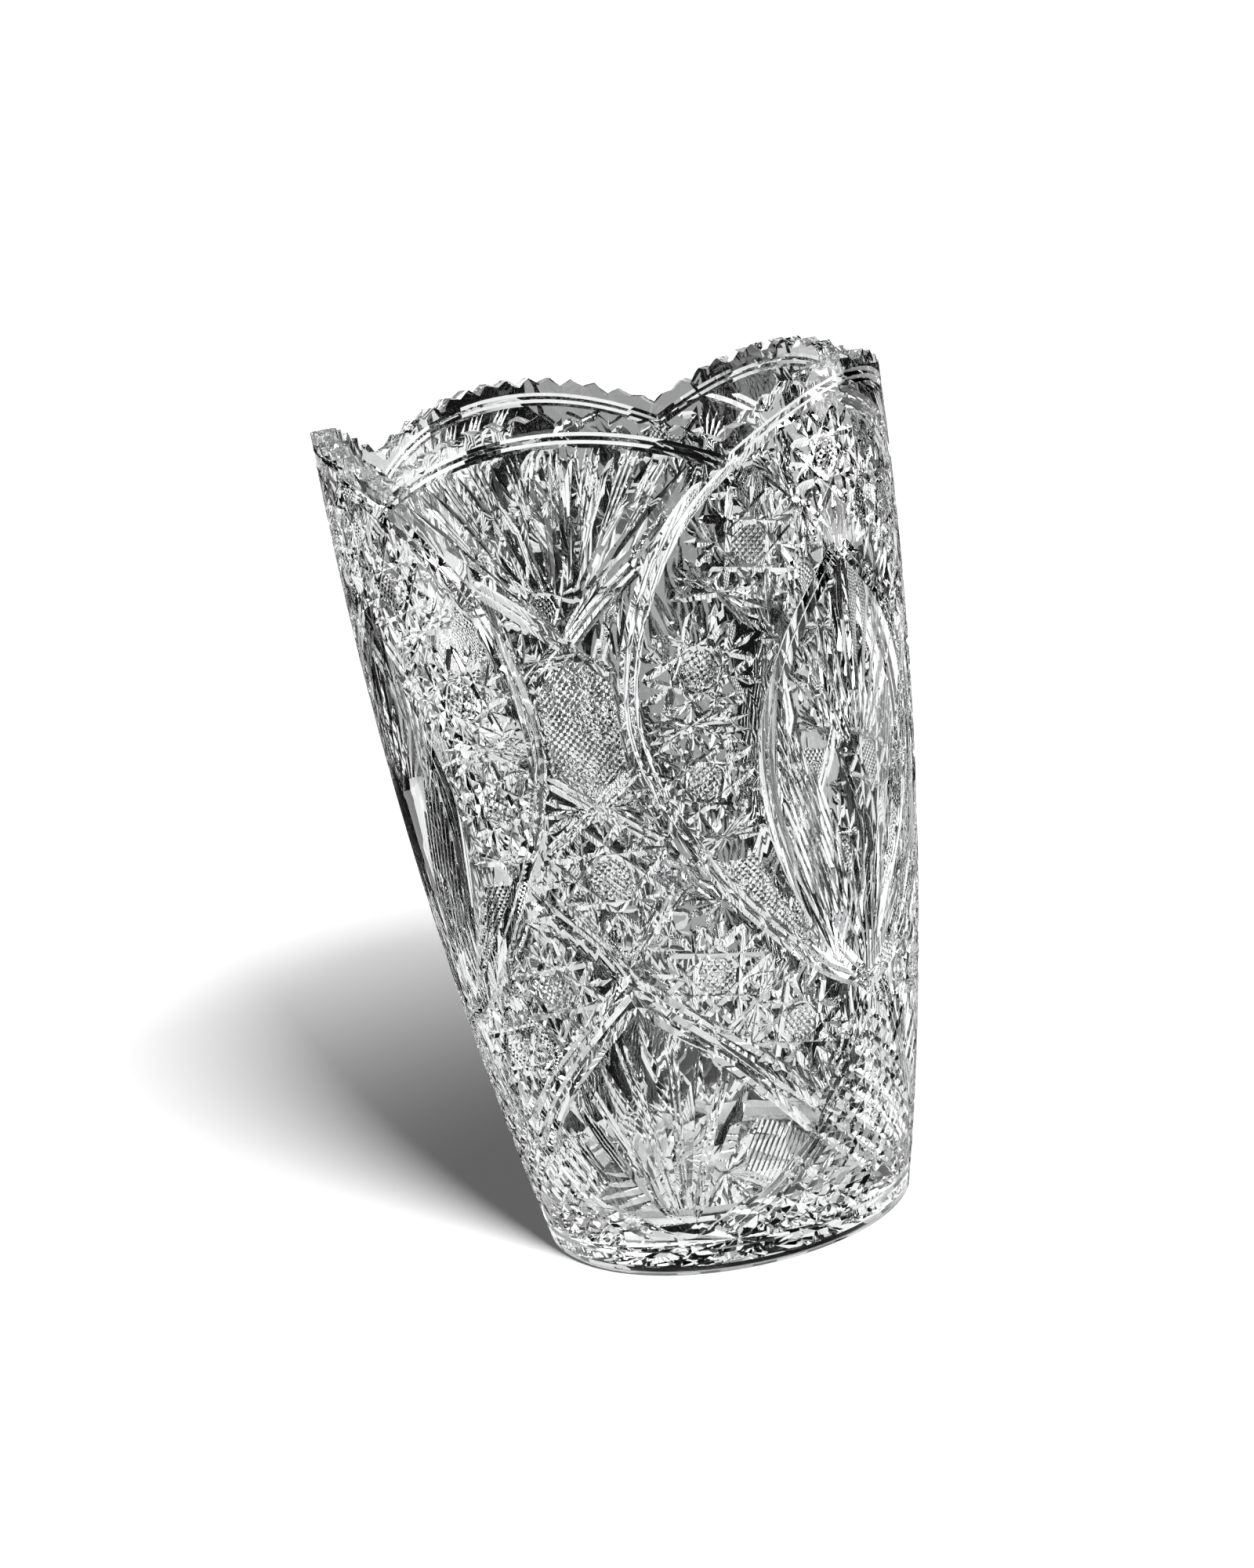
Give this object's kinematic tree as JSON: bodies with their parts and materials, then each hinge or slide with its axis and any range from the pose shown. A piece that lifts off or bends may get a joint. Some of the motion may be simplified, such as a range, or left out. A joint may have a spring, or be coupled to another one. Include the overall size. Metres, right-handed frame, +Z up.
{
  "type": "cut crystal vase",
  "caption": "Barrel-sided cut crystal vase with a scalloped saw-tooth rim, hobstar and fan panels and a star-cut foot.",
  "frame": {"origin": "centre of the foot's ground ring, on the surface the vase stands on", "axes": "+Z up along the vase's axis, -Y towards the middle of one fan panel, +X to that panel's right"},
  "size_m": [0.172, 0.1718, 0.2649],
  "materials": {
    "crystal": "glossy"
  },
  "bodies": {
    "root": {"star_base": "crystal", "foot_wall": "crystal", "lower_panels": "crystal", "upper_panels": "crystal", "saw_rim": "crystal"}
  },
  "joints": []
}
